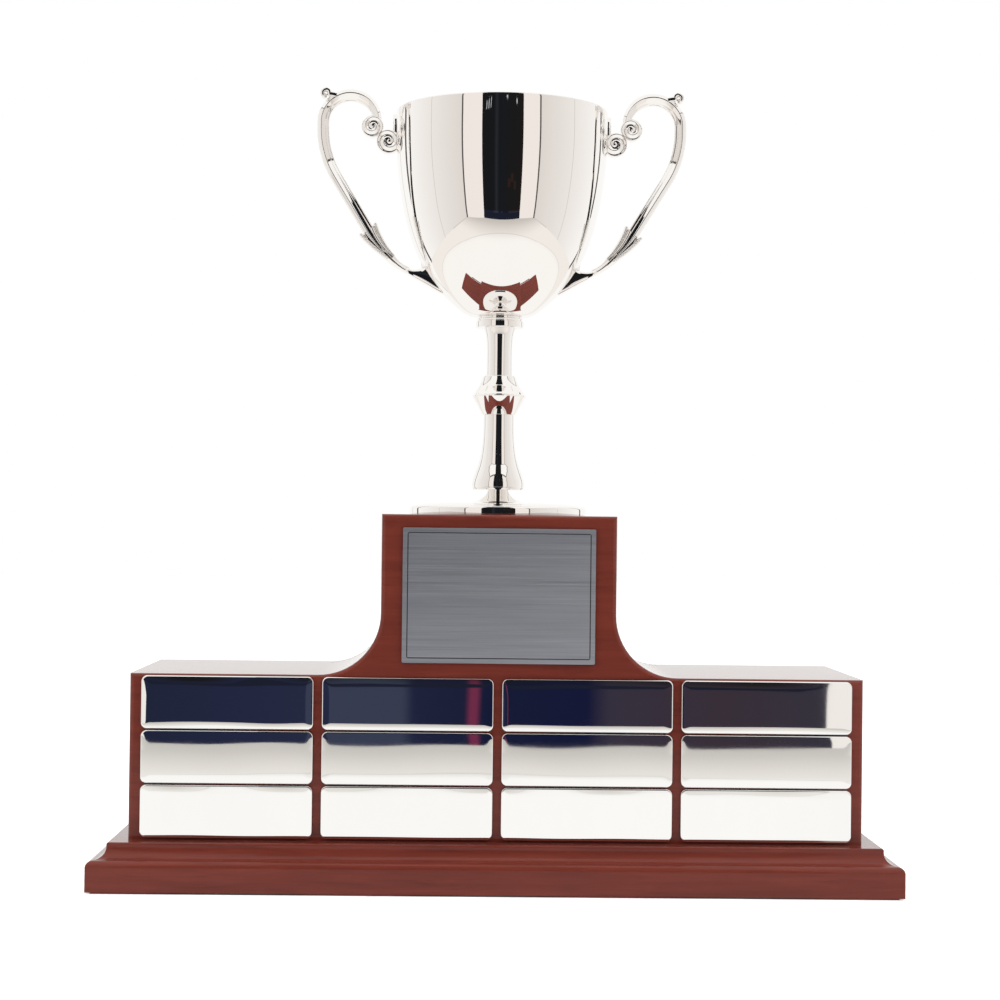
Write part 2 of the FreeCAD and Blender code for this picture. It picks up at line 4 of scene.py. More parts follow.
import bpy
from mathutils import Euler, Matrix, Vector


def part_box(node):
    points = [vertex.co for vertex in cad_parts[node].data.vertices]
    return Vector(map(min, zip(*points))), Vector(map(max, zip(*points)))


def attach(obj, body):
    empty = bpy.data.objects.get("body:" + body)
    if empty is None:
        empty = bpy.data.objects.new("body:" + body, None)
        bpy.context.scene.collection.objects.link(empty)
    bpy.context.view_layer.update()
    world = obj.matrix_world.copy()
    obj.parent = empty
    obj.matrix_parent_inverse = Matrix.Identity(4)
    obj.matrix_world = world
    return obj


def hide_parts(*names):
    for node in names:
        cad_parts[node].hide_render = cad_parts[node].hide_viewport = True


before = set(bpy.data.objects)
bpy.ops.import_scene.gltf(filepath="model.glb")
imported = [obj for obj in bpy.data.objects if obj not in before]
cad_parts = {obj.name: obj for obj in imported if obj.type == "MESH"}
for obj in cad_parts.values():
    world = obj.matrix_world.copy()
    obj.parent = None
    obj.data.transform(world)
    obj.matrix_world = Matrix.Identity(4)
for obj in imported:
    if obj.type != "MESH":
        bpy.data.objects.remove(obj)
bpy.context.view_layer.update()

MM = 0.001

# ---- sizes shared with the construction, in millimetres ----
BORE = 3.3
BLOCK_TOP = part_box("top_panel")[1][2] / MM
FOOT_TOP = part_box("cup_foot")[1][2] / MM
LOWER_STEM_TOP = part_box("stem_lower")[1][2] / MM
KNOP_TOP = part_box("stem_knop")[1][2] / MM
UPPER_STEM_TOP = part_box("stem_upper")[1][2] / MM
BOWL_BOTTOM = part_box("cup_bowl")[0][2] / MM
RIM_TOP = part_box("cup_bowl")[1][2] / MM
RIM_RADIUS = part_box("cup_bowl")[1][0] / MM
BOWL_WALL = 1.1
RIM_BEAD = 0.75
SEAT_RADIUS = 10.4


# ---- mesh helpers ----
class Shell:
    """Collects closed surfaces, in millimetres, and turns them into one object in metres."""

    def __init__(self):
        self.points = []
        self.faces = []

    def add(self, points, faces):
        first = len(self.points)
        self.points += points
        self.faces += [tuple(first + index for index in face) for face in faces]

    def mirrored(self):
        """The same surfaces on the other side of the middle plane."""
        other = Shell()
        other.points = [(-x, y, z) for x, y, z in self.points]
        other.faces = [tuple(reversed(face)) for face in self.faces]
        return other

    def object(self, name, sharp_angle=35):
        mesh = bpy.data.meshes.new(name)
        mesh.from_pydata([(x * MM, y * MM, z * MM) for x, y, z in self.points], [], self.faces)
        mesh.validate()
        mesh.shade_smooth()
        mesh.set_sharp_from_angle(angle=math.radians(sharp_angle))
        piece = bpy.data.objects.new(name, mesh)
        bpy.context.scene.collection.objects.link(piece)
        return piece


def polar(centre, radius, degrees):
    angle = math.radians(degrees)
    return (centre[0] + radius * math.cos(angle), centre[1] + radius * math.sin(angle))


def arc(centre, radius, start, end, steps):
    """Points along an arc from one angle to another, both ends included."""
    return [polar(centre, radius, start + (end - start) * i / steps) for i in range(steps + 1)]


def ease(start, end, count, power=1.0):
    """Values from start to end, both included."""
    return [start + (end - start) * (i / (count - 1)) ** power for i in range(count)]


def curve_value(p, q, r, s, t):
    """One coordinate of a Catmull-Rom curve, at a share of the way from q to r."""
    bend = 2 * p - 5 * q + 4 * r - s
    twist = 3 * q - p - 3 * r + s
    return 0.5 * (2 * q + (r - p) * t + bend * t * t + twist * t ** 3)


def smooth_curve(points, steps):
    """A Catmull-Rom curve through all the points."""
    ends = [points[0]] + list(points) + [points[-1]]
    curve = []
    for a, b, c, d in zip(ends, ends[1:], ends[2:], ends[3:]):
        for i in range(steps):
            curve.append(tuple(curve_value(p, q, r, s, i / steps) for p, q, r, s in zip(a, b, c, d)))
    return curve + [points[-1]]


def tube_faces(around, rings, first=0, inwards=False):
    """Faces between closed rings of points that follow one another."""
    faces = []
    for i in range(rings - 1):
        here, there = first + i * around, first + (i + 1) * around
        for j in range(around):
            k = (j + 1) % around
            if inwards:
                faces.append((here + j, here + k, there + k, there + j))
            else:
                faces.append((here + j, there + j, there + k, here + k))
    return faces


def grid_faces(width, depth, first=0, downwards=False):
    """Faces between the points of a grid."""
    faces = []
    for i in range(depth - 1):
        for j in range(width - 1):
            a = first + i * width + j
            if downwards:
                faces.append((a, a + width, a + width + 1, a + 1))
            else:
                faces.append((a, a + 1, a + width + 1, a + width))
    return faces


def grid_rim(width, depth):
    """Places in a grid of points of those round its edge, starting along the first row."""
    right = [i * width + width - 1 for i in range(1, depth)]
    far = list(range(depth * width - 2, (depth - 1) * width - 1, -1))
    left = [i * width for i in range(depth - 2, 0, -1)]
    return list(range(width)) + right + far + left


def lathe(shell, outline, around=224):
    """Turns a closed outline of (radius, height) points about Z."""
    count = len(outline)
    points = []
    for step in range(around):
        angle = 2 * math.pi * step / around
        points += [(r * math.cos(angle), r * math.sin(angle), z) for r, z in outline]
    faces = []
    for step in range(around):
        here, there = step * count, (step + 1) % around * count
        for i in range(count):
            j = (i + 1) % count
            faces.append((here + i, here + j, there + j, there + i))
    shell.add(points, faces)


def outward_order(outline):
    """The outline ordered so that its turned faces look outwards."""
    area = sum(a[0] * b[1] - b[0] * a[1] for a, b in zip(outline, outline[1:] + outline[:1]))
    return outline if area > 0 else outline[::-1]


def rising(radius, bottom, height, run):
    """Outline points from pairs: what is added to a radius, and the share of a height."""
    return [(radius + extra, bottom + share * height) for extra, share in run]


def turned_piece(name, outline, node):
    shell = Shell()
    lathe(shell, outward_order(outline))
    piece = shell.object(name)
    finish_piece(piece, NICKEL, "nickel", node)
    return piece


def finish_piece(piece, material, slot, *nodes):
    """Gives a piece its material and its body, and hides the construction nodes that it stands for."""
    piece.data.materials.append(material)
    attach(piece, "root")
    if nodes:
        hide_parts(*nodes)


# ---- material helpers ----
def fill(node, values):
    """Sets a node's inputs by name."""
    for name, value in values.items():
        node.inputs[name].default_value = value


class Nodes:
    """A short way to write a material's node tree."""

    def __init__(self, name):
        self.material = bpy.data.materials.new(name)
        self.material.use_nodes = True
        self.tree = self.material.node_tree
        self.shader = self.tree.nodes["Principled BSDF"]
        self.output = self.tree.nodes["Material Output"]

    def node(self, kind, **settings):
        made = self.tree.nodes.new(kind)
        for key, value in settings.items():
            setattr(made, key, value)
        return made

    def link(self, source, target):
        self.tree.links.new(source, target)

    def drive(self, name, source):
        """Lets a node set one of the shader's own inputs."""
        self.link(source, self.shader.inputs[name])

    def feed(self, value, socket):
        """Gives an input a number, a colour or another node's output."""
        if hasattr(value, "is_output"):
            self.link(value, socket)
        elif isinstance(value, tuple):
            socket.default_value = (*value, 1.0)
        else:
            socket.default_value = value

    def emit(self, colour):
        """Makes the material a plain glow."""
        emission = self.node("ShaderNodeEmission")
        self.feed(colour, emission.inputs["Color"])
        self.link(emission.outputs["Emission"], self.output.inputs["Surface"])

    def coordinate(self, axis):
        """One object coordinate: 0, 1 or 2 for X, Y or Z."""
        place = self.node("ShaderNodeTexCoord")
        split = self.node("ShaderNodeSeparateXYZ")
        self.link(place.outputs["Object"], split.inputs["Vector"])
        return split.outputs[axis]

    def place(self, scale=(1, 1, 1)):
        """Object coordinates stretched by a scale on each axis."""
        coordinates = self.node("ShaderNodeTexCoord")
        mapping = self.node("ShaderNodeMapping")
        mapping.inputs["Scale"].default_value = scale
        self.link(coordinates.outputs["Object"], mapping.inputs["Vector"])
        return mapping.outputs["Vector"]

    def noise(self, place, scale, detail=4.0, roughness=0.55, distortion=0.0):
        made = self.node("ShaderNodeTexNoise")
        fill(made, {"Scale": scale, "Detail": detail, "Roughness": roughness, "Distortion": distortion})
        self.link(place, made.inputs["Vector"])
        return made.outputs["Fac"]

    def ramp(self, source, stops):
        """A colour ramp; stops are (position, colour)."""
        made = self.node("ShaderNodeValToRGB")
        elements = made.color_ramp.elements
        while len(elements) < len(stops):
            elements.new(0.5)
        for element, (position, colour) in zip(elements, stops):
            element.position = position
            element.color = (*colour, 1.0)
        self.link(source, made.inputs["Fac"])
        return made.outputs["Color"]

    def remap(self, source, low, high, to_low, to_high):
        made = self.node("ShaderNodeMapRange")
        fill(made, {"From Min": low, "From Max": high, "To Min": to_low, "To Max": to_high})
        self.link(source, made.inputs["Value"])
        return made.outputs["Result"]

    def mix(self, factor, first, second, blend="MIX"):
        made = self.node("ShaderNodeMix", data_type="RGBA", blend_type=blend)
        for value, number in ((factor, 0), (first, 6), (second, 7)):
            self.feed(value, made.inputs[number])
        return made.outputs[2]

    def bump(self, height, distance, strength=1.0):
        made = self.node("ShaderNodeBump")
        fill(made, {"Strength": strength, "Distance": distance})
        self.link(height, made.inputs["Height"])
        self.drive("Normal", made.outputs["Normal"])

    def set(self, **values):
        fill(self.shader, {key.replace("_", " "): value for key, value in values.items()})


def nickel(name, tint, swirl):
    """Polished nickel with faint polishing haze."""
    made = Nodes(name)
    made.set(Metallic=1.0)
    haze = made.noise(made.place((1, 1, 0.35)), swirl, 6.0, 0.6)
    dulled = tuple(0.97 * part for part in tint)
    made.drive("Base Color", made.ramp(haze, [(0.3, dulled), (0.75, tint)]))
    made.drive("Roughness", made.remap(haze, 0.3, 0.8, 0.012, 0.04))
    return made.material


def mahogany():
    """Red-brown stained timber under a polished lacquer."""
    made = Nodes("mahogany")
    made.set(Coat_Weight=1.0, Coat_Roughness=0.06, Coat_IOR=1.27, Specular_IOR_Level=0.12)
    long_grain = made.noise(made.place((6, 90, 90)), 3.0, 6.0, 0.62, 0.6)
    pores = made.noise(made.place((28, 900, 900)), 2.2, 3.0, 0.5)
    cloud = made.noise(made.place((7, 9, 9)), 1.6, 2.0, 0.5)
    wood = made.ramp(long_grain, [
        (0.28, (0.098, 0.015, 0.009)),
        (0.5, (0.136, 0.022, 0.013)),
        (0.74, (0.172, 0.03, 0.018)),
    ])
    shaded = made.mix(made.remap(cloud, 0.3, 0.7, 0.0, 0.35), wood, (0.152, 0.029, 0.018))
    pored = made.mix(made.remap(pores, 0.6, 0.74, 0.0, 0.4), shaded, (0.07, 0.011, 0.007))
    made.drive("Base Color", pored)
    made.drive("Roughness", made.remap(long_grain, 0.25, 0.8, 0.42, 0.34))
    made.bump(pores, 0.00005, 0.2)
    return made.material


def brushed_plate():
    """Brushed steel-grey sheet, with painted shade that darkens it towards its upper left corner."""
    made = Nodes("brushed_plate")
    made.set(Metallic=0.75, Specular_IOR_Level=0.5)
    lines = made.noise(made.place((14, 2600, 2600)), 1.0, 5.0, 0.65)
    broad = made.noise(made.place((5, 60, 60)), 1.0, 2.0, 0.5)
    tone = made.ramp(lines, [(0.3, (0.33, 0.345, 0.385)), (0.7, (0.46, 0.475, 0.52))])
    mottled = made.mix(made.remap(broad, 0.3, 0.7, 0.0, 0.3), tone, (0.44, 0.455, 0.49))
    rightwards, downwards = 0.64, 0.77
    place = made.node("ShaderNodeTexCoord")
    across = made.node("ShaderNodeVectorMath", operation="DOT_PRODUCT")
    across.inputs[1].default_value = (rightwards, 0.0, -downwards)
    made.link(place.outputs["Generated"], across.inputs[0])
    # Painted shade: a darker grey is mixed in towards the upper left corner.
    painted_shade_share = made.remap(across.outputs["Value"], -downwards, rightwards, 0.42, 0.0)
    made.drive("Base Color", made.mix(painted_shade_share, mottled, (0.17, 0.18, 0.21)))
    made.drive("Roughness", made.remap(lines, 0.3, 0.7, 0.3, 0.46))
    made.bump(lines, 0.00003, 0.35)
    return made.material


def felt():
    made = Nodes("felt")
    made.set(Roughness=0.97, Sheen_Weight=0.35, Sheen_Roughness=0.6, Specular_IOR_Level=0.15)
    fibres = made.noise(made.place(), 900.0, 6.0, 0.7, 1.5)
    made.drive("Base Color", made.ramp(fibres, [(0.3, (0.012, 0.012, 0.014)), (0.7, (0.05, 0.05, 0.055))]))
    made.bump(fibres, 0.0004, 0.7)
    return made.material


def zinc_steel():
    made = Nodes("zinc_steel")
    made.set(Metallic=1.0)
    spangle = made.noise(made.place(), 420.0, 4.0, 0.6)
    made.drive("Base Color", made.ramp(spangle, [(0.3, (0.42, 0.42, 0.41)), (0.7, (0.62, 0.62, 0.6))]))
    made.drive("Roughness", made.remap(spangle, 0.3, 0.7, 0.25, 0.42))
    return made.material


def rough_solid(name, dark, light, scale, roughness):
    """A plain matt material with a fine mottle."""
    made = Nodes(name)
    made.set(Roughness=roughness)
    mottle = made.noise(made.place(), scale, 5.0, 0.6)
    made.drive("Base Color", made.ramp(mottle, [(0.3, dark), (0.7, light)]))
    made.bump(mottle, 0.0002, 0.4)
    return made.material


NICKEL = nickel("nickel", (0.96, 0.945, 0.925), 14.0)
PLATE_NICKEL = nickel("plate_nickel", (0.965, 0.975, 0.97), 22.0)
MAHOGANY = mahogany()
BRUSHED = brushed_plate()
BORDER = rough_solid("border_line", (0.012, 0.012, 0.014), (0.03, 0.03, 0.034), 500.0, 0.5)
FELT = felt()
STEEL = zinc_steel()
CAST_CORE = rough_solid("cast_core", (0.03, 0.03, 0.03), (0.07, 0.068, 0.065), 300.0, 0.75)
FOAM = rough_solid("adhesive_foam", (0.5, 0.5, 0.47), (0.7, 0.7, 0.66), 700.0, 0.9)


# ---- bowl ----
STRAIGHT_LIP = 8.6
BOWL_BENDS = [(194.5, 13.2), (103.5, 22.5), (68.6, 54.2)]
SEAT_ANGLE = 88.0


def bend(station, radius, angle):
    """The next station down the bowl, after an arc that turns to an angle."""
    r, z, start = station
    a, b = math.radians(start), math.radians(angle)
    return (r - radius * (math.cos(a) - math.cos(b)), z - radius * (math.sin(b) - math.sin(a)), angle)


def bowl_stations():
    """(radius, height, degrees from upright) from the rim to the seat, as constructed."""
    stations = [(RIM_RADIUS, RIM_TOP, 0.0), (RIM_RADIUS, RIM_TOP - STRAIGHT_LIP, 0.0)]
    for radius, angle in BOWL_BENDS:
        stations.append(bend(stations[-1], radius, angle))
    last = stations[-1]
    closing = math.cos(math.radians(last[2])) - math.cos(math.radians(SEAT_ANGLE))
    stations.append(bend(last, (last[0] - SEAT_RADIUS) / closing, SEAT_ANGLE))
    return stations


def bowl_wall(inset):
    """Points down the wall from rim to seat, set inwards by a distance."""
    points = []
    stations = bowl_stations()
    for upper, lower in zip(stations, stations[1:]):
        a, b = math.radians(upper[2]), math.radians(lower[2])
        if a == b:
            down = zip(ease(upper[0], lower[0], 11), ease(upper[1], lower[1], 11))
            points += [(r - inset * math.cos(a), z + inset * math.sin(a)) for r, z in down]
        else:
            radius = (upper[0] - lower[0]) / (math.cos(a) - math.cos(b))
            centre = (upper[0] - radius * math.cos(a), upper[1] + radius * math.sin(a))
            points += arc(centre, radius - inset, -upper[2], -lower[2], 26)[1:]
    return points


BOWL_OUTSIDE = bowl_wall(0)


def bowl_radius(height):
    """Outside radius of the bowl at a height."""
    for upper, lower in zip(BOWL_OUTSIDE, BOWL_OUTSIDE[1:]):
        if height >= lower[1]:
            share = (height - lower[1]) / max(upper[1] - lower[1], 1e-9)
            return lower[0] + min(share, 1.0) * (upper[0] - lower[0])
    return 0.0


def build_bowl():
    bead_centre = (RIM_RADIUS - RIM_BEAD, RIM_TOP - RIM_BEAD)
    bead = arc(bead_centre, RIM_BEAD, 180, 0, 16)
    outside = [point for point in BOWL_OUTSIDE if point[1] < bead_centre[1] - 0.2]
    inside = [point for point in bowl_wall(BOWL_WALL) if point[1] < RIM_TOP - 2 * RIM_BEAD - 0.1]
    seat = inside[-1][1]
    outline = bead + outside + [(BORE, BOWL_BOTTOM), (BORE, seat)] + inside[::-1]
    outline.append((RIM_RADIUS - BOWL_WALL, RIM_TOP - 2 * RIM_BEAD))
    turned_piece("bowl_spun", outline, "cup_bowl")


# ---- foot and stem ----
def build_foot():
    radius, edge, dome, wall = 43.3, 4.6, 1.9, 1.3
    cone_radius, neck = 12.2, 5.0
    edge_top = BLOCK_TOP + edge
    cone_bottom = edge_top + dome
    soft = edge / 3
    rise = FOOT_TOP - cone_bottom
    outline = [(radius - wall, BLOCK_TOP), (radius - 0.3, BLOCK_TOP)]
    outline += arc((radius - 0.3, BLOCK_TOP + 0.3), 0.3, -90, 0, 4)
    outline += arc((radius - soft, edge_top - soft), soft, 0, 90, 12)
    outline += smooth_curve([
        (radius - soft - 0.7, edge_top + 0.1),
        (38.5, edge_top + 0.34 * dome),
        (34.0, edge_top + 0.62 * dome),
        (27.0, edge_top + 0.82 * dome),
        (cone_radius + 5, cone_bottom - 0.12),
        (cone_radius, cone_bottom + 0.25),
        (8.6, cone_bottom + 0.32 * rise),
        (6.2, cone_bottom + 0.62 * rise),
        (neck, FOOT_TOP),
    ], 12)
    outline += [(BORE, FOOT_TOP), (BORE, cone_bottom - wall), (cone_radius, cone_bottom - wall)]
    outline.append((radius - wall, edge_top - wall))
    turned_piece("foot_spun", outline, "cup_foot")


def build_lower_stem():
    height = LOWER_STEM_TOP - FOOT_TOP
    lip, neck = 12.8, 7.5
    seat = (5.0, FOOT_TOP)
    outline = [(BORE, FOOT_TOP), seat]
    outline += smooth_curve([seat, (lip - 1.6, FOOT_TOP + 0.2), (lip - 0.45, FOOT_TOP + 0.45)], 6)[1:]
    outline += smooth_curve([
        (lip - 0.45, FOOT_TOP + 0.45),
        (lip - 0.08, FOOT_TOP + 1.4),
        (lip, FOOT_TOP + 0.075 * height),
        (lip - 0.12, FOOT_TOP + 0.118 * height),
    ], 8)[1:]
    flare = rising(lip, FOOT_TOP, height, [(-0.22, 0.127), (-0.42, 0.152), (-0.87, 0.19), (-1.45, 0.235)])
    flare += rising(neck, FOOT_TOP, height, [
        (3.17, 0.285), (2.37, 0.345), (1.58, 0.42), (0.98, 0.5), (0.46, 0.61), (0.12, 0.74), (0.0, 0.9),
    ])
    outline += smooth_curve(flare + [(neck, LOWER_STEM_TOP - 0.15)], 12)
    outline += [(neck - 0.15, LOWER_STEM_TOP), (BORE, LOWER_STEM_TOP)]
    turned_piece("stem_lower_turned", outline, "stem_lower")


def build_knop():
    height = KNOP_TOP - LOWER_STEM_TOP
    wide = 13.1
    edge = LOWER_STEM_TOP + 0.476 * height
    outline = [(BORE, LOWER_STEM_TOP), (7.9, LOWER_STEM_TOP)]
    outline += arc((7.9, LOWER_STEM_TOP + 0.3), 0.3, -90, -30, 5)
    outline += arc((wide - 0.5, edge), 0.5, -30, 50, 8)
    cone = rising(wide, LOWER_STEM_TOP, height, [(-1.15, 0.576), (-2.2, 0.66), (-3.3, 0.75), (-4.2, 0.85)])
    outline += smooth_curve([(wide - 0.45, edge + 0.75), *cone, (7.95, KNOP_TOP - 0.25)], 10)
    outline += [(7.7, KNOP_TOP), (BORE, KNOP_TOP)]
    turned_piece("stem_knop_turned", outline, "stem_knop")


def build_upper_stem():
    height = UPPER_STEM_TOP - KNOP_TOP
    outline = [(BORE, KNOP_TOP), (6.1, KNOP_TOP)]
    outline += smooth_curve([
        (6.25, KNOP_TOP + 0.2),
        (6.2, KNOP_TOP + 0.35 * height),
        (6.25, KNOP_TOP + 0.62 * height),
        (6.65, KNOP_TOP + 0.82 * height),
        (7.7, UPPER_STEM_TOP - 0.01),
    ], 12)
    outline += [(BORE, UPPER_STEM_TOP)]
    turned_piece("stem_upper_turned", outline, "stem_upper")


def build_cap():
    collar, collar_height, soft = 11.7, 4.6, 0.45
    collar_top = UPPER_STEM_TOP + collar_height
    step = UPPER_STEM_TOP + 0.72 * collar_height
    outline = [(BORE, UPPER_STEM_TOP)]
    outline += arc((collar - soft, UPPER_STEM_TOP + soft), soft, -90, 0, 8)
    outline += arc((collar - soft, step - soft), soft, 0, 90, 8)
    outline += [(collar - 0.75, step + 0.1)]
    outline += arc((collar - 0.9, collar_top - 0.5), 0.5, 0, 90, 8)
    outline += [(SEAT_RADIUS + 0.05, collar_top), (SEAT_RADIUS, collar_top + 0.05)]
    outline += [(SEAT_RADIUS, BOWL_BOTTOM), (BORE, BOWL_BOTTOM)]
    turned_piece("stem_cap_turned", outline, "stem_cap")


# ---- handles ----
ARM_HALF = 2.9
ARM_DEPTH = 3.5
ARCH_RADIUS = 13.4
UPPER_BEND, LOWER_BEND = 45.0, 46.0
UPPER_ANGLE, LOWER_ANGLE = 31.5, 65.0
SHOULDER_DROP = 3.2
ROOT_STEPS, SPAN_STEPS = 52, 90
LOWER_ANGLES = ease(UPPER_ANGLE, LOWER_ANGLE, SPAN_STEPS)
SEAT_GAP = 0.03
SMALL_VOLUTE, LARGE_VOLUTE, THUMB = 5.9, 5.4, 3.4
SMALL_CENTRE = (bowl_radius(RIM_TOP - 15.2) + 3.8, RIM_TOP - 15.2)
LARGE_CENTRE = polar(SMALL_CENTRE, SMALL_VOLUTE + LARGE_VOLUTE - 0.6, 43)
ARCH_CENTRE = (LARGE_CENTRE[0] - LARGE_VOLUTE + ARM_HALF + ARCH_RADIUS, LARGE_CENTRE[1] + 2.0)
ARM_RUN = 0.315 * (RIM_TOP - BOWL_BOTTOM)


def arm_path():
    """Centre line of the arm from the arch to the mount, and the centre of its lower bend."""
    points = arc(ARCH_CENTRE, ARCH_RADIUS, 180, 0, 150)
    x, z = points[-1]
    points += [(x, z - SHOULDER_DROP * i / 12) for i in range(1, 12)]
    points += arc((x - UPPER_BEND, z - SHOULDER_DROP), UPPER_BEND, 0, -UPPER_ANGLE, SPAN_STEPS)
    x, z = points[-1]
    slope = math.radians(UPPER_ANGLE)
    run_end = (x - ARM_RUN * math.sin(slope), z - ARM_RUN * math.cos(slope))
    run = zip(ease(x, run_end[0], SPAN_STEPS + 1), ease(z, run_end[1], SPAN_STEPS + 1))
    points += list(run)[1:-1]
    lower_centre = polar(run_end, LOWER_BEND, 180 - UPPER_ANGLE)
    for angle in LOWER_ANGLES:
        points.append(polar(lower_centre, LOWER_BEND + ARM_HALF - lower_half(angle), -angle))
    return points, lower_centre


def lower_half(angle):
    """Half width of the arm round its lower bend: it thins towards the mount."""
    first_angle, span, thinning = 45.0, 15.0, 1.25
    share = min(max((angle - first_angle) / span, 0.0), 1.0)
    return ARM_HALF - thinning * share * share * (3 - 2 * share)


def ridged_section():
    """The arm: two slopes that meet in a soft ridge, with a small step in the inner slope."""
    front = smooth_curve([
        (-1.0, 0.2), (-0.97, 0.34), (-0.9, 0.43), (-0.8, 0.49), (-0.62, 0.565), (-0.46, 0.635),
        (-0.38, 0.685), (-0.2, 0.765), (0.0, 0.85), (0.16, 0.918), (0.24, 0.946), (0.31, 0.957),
        (0.38, 0.943), (0.5, 0.86), (0.66, 0.745), (0.8, 0.64), (0.9, 0.53), (0.97, 0.4), (1.0, 0.2),
    ], 4)
    return front + [(u, -v) for u, v in reversed(front)]


def flat_section():
    """A rounded bar with flat faces."""
    count = 28
    section = []
    for i in range(count):
        u, v = math.cos(2 * math.pi * i / count), math.sin(2 * math.pi * i / count)
        section.append((math.copysign(abs(u) ** 0.55, u), math.copysign(abs(v) ** 0.45, v)))
    return section


def round_section():
    count = 32
    return [(math.cos(2 * math.pi * i / count), math.sin(2 * math.pi * i / count)) for i in range(count)]


def sweep(shell, path, widths, depths, section):
    """Carries a section along a path in the XZ plane; widths and depths are halves at each point."""
    count = len(section)
    points = []
    for i, (x, z) in enumerate(path):
        ahead, behind = path[min(i + 1, len(path) - 1)], path[max(i - 1, 0)]
        along = Vector((ahead[0] - behind[0], ahead[1] - behind[1])).normalized()
        side = (-along[1], along[0])
        for u, v in section:
            offset = u * widths[i]
            points.append((x + side[0] * offset, v * depths[i], z + side[1] * offset))
    faces = [tuple(range(count))] + tube_faces(count, len(path))
    faces.append(tuple(range(len(points) - 1, len(points) - 1 - count, -1)))
    shell.add(points, faces)


def ball(shell, centre, radii, rings=8):
    """A closed rounded bead."""
    around = 2 * rings
    points = [(centre[0], centre[1], centre[2] + radii[2])]
    for i in range(1, rings):
        tilt = math.pi * i / rings
        for j in range(around):
            turn = math.pi * j / rings
            points.append((
                centre[0] + radii[0] * math.sin(tilt) * math.cos(turn),
                centre[1] + radii[1] * math.sin(tilt) * math.sin(turn),
                centre[2] + radii[2] * math.cos(tilt),
            ))
    points.append((centre[0], centre[1], centre[2] - radii[2]))
    last = len(points) - 1
    first = last - around
    faces = [(0, 1 + j, 1 + (j + 1) % around) for j in range(around)]
    faces += tube_faces(around, rings - 1, 1)
    faces += [(last, first + (j + 1) % around, first + j) for j in range(around)]
    shell.add(points, faces)


def volute(shell, centre, radius, start, direction):
    """A scroll end: a round boss whose two faces carry one coiled rib round a small eye."""
    half_depth, rib_height, eye_height, dish = 4.5, 1.05, 0.9, 0.315
    pitch, sharpness, soft_edge = 0.62 * radius, 0.94, 0.8
    around, rings = 160, 48

    def face_height(reach, angle):
        """A face's height above the middle plane."""
        coil = reach / pitch - direction * (angle - math.radians(start)) / (2 * math.pi)
        swell = 0.5 - 0.5 * math.asin(sharpness * math.cos(2 * math.pi * coil)) / math.asin(sharpness)
        outward = min(1.0, reach / (0.75 * pitch))
        height = half_depth - 1.35 + rib_height * (swell * outward + eye_height * (1 - outward))
        height -= dish * (reach / radius) ** 2
        edge = max(0.0, (reach - radius + soft_edge) / soft_edge) ** 3
        return height * (1 - edge) + (half_depth - 2.0) * edge

    points = []
    for side in (-1, 1):
        for reach in ease(radius / rings, radius, rings):
            for j in range(around):
                angle = 2 * math.pi * j / around
                x, z = centre[0] + reach * math.cos(angle), centre[1] + reach * math.sin(angle)
                points.append((x, side * face_height(reach, angle), z))
        points.append((centre[0], side * (half_depth - 0.35), centre[1]))
    layer = rings * around + 1
    last = (rings - 1) * around
    faces = [face[::-1] for face in tube_faces(around, rings, 0, True)]
    faces += tube_faces(around, rings, layer, True)
    for j in range(around):
        k = (j + 1) % around
        faces.append((layer - 1, j, k))
        faces.append((layer + k, layer + j, 2 * layer - 1))
        faces.append((last + k, last + j, layer + last + j, layer + last + k))
    shell.add(points, faces)


def leaf_ribs(shell, centre):
    """The acanthus wrap: three ribs that fan out round the lower bend, and beads along the outer one."""
    first, last = LOWER_ANGLE - 12, UPPER_ANGLE - 2.5

    def in_fan(share, short, t, lift=0.0):
        """A place along a rib that lies a share of the fan's spread out from the arm's middle line."""
        spread = 1.25 + 3.2 * t ** 1.2
        return polar(centre, LOWER_BEND + share * spread + lift, -(first - (first - last - short) * t))

    shares = ease(0.0, 1.0, 70)
    widths = [0.35 + 0.85 * math.sin(math.pi * min(1.0, 0.1 + 0.62 * t)) ** 0.6 for t in shares]
    for share, short in [(-1.0, 0.0), (-0.62, 0.9), (0.92, 2.2)]:
        path = [in_fan(share, short, t) for t in shares]
        depths = [3.0 + 0.9 * (1 - abs(share)) + 0.5 * math.sin(math.pi * t) for t in shares]
        sweep(shell, path, widths, depths, round_section())
        x, z = path[-1]
        ball(shell, (x, 0.0, z), (widths[-1], depths[-1], widths[-1]))
    for t in ease(0.12, 0.98, 16):
        x, z = in_fan(0.95, 1.2, t, 0.25)
        for level in (-2.9, 2.9):
            ball(shell, (x, level, z), (0.8, 1.0, 0.8))


def seated_curve(run, middle, end):
    """A curve along (reach, height above the bowl's bottom) points that goes on to the bowl."""
    points = [(reach, BOWL_BOTTOM + height) for reach, height in run]
    seat = bowl_radius(BOWL_BOTTOM + end)
    points.append((0.5 * (points[-1][0] + seat), BOWL_BOTTOM + middle))
    points.append((seat, BOWL_BOTTOM + end))
    return smooth_curve(points, 12)


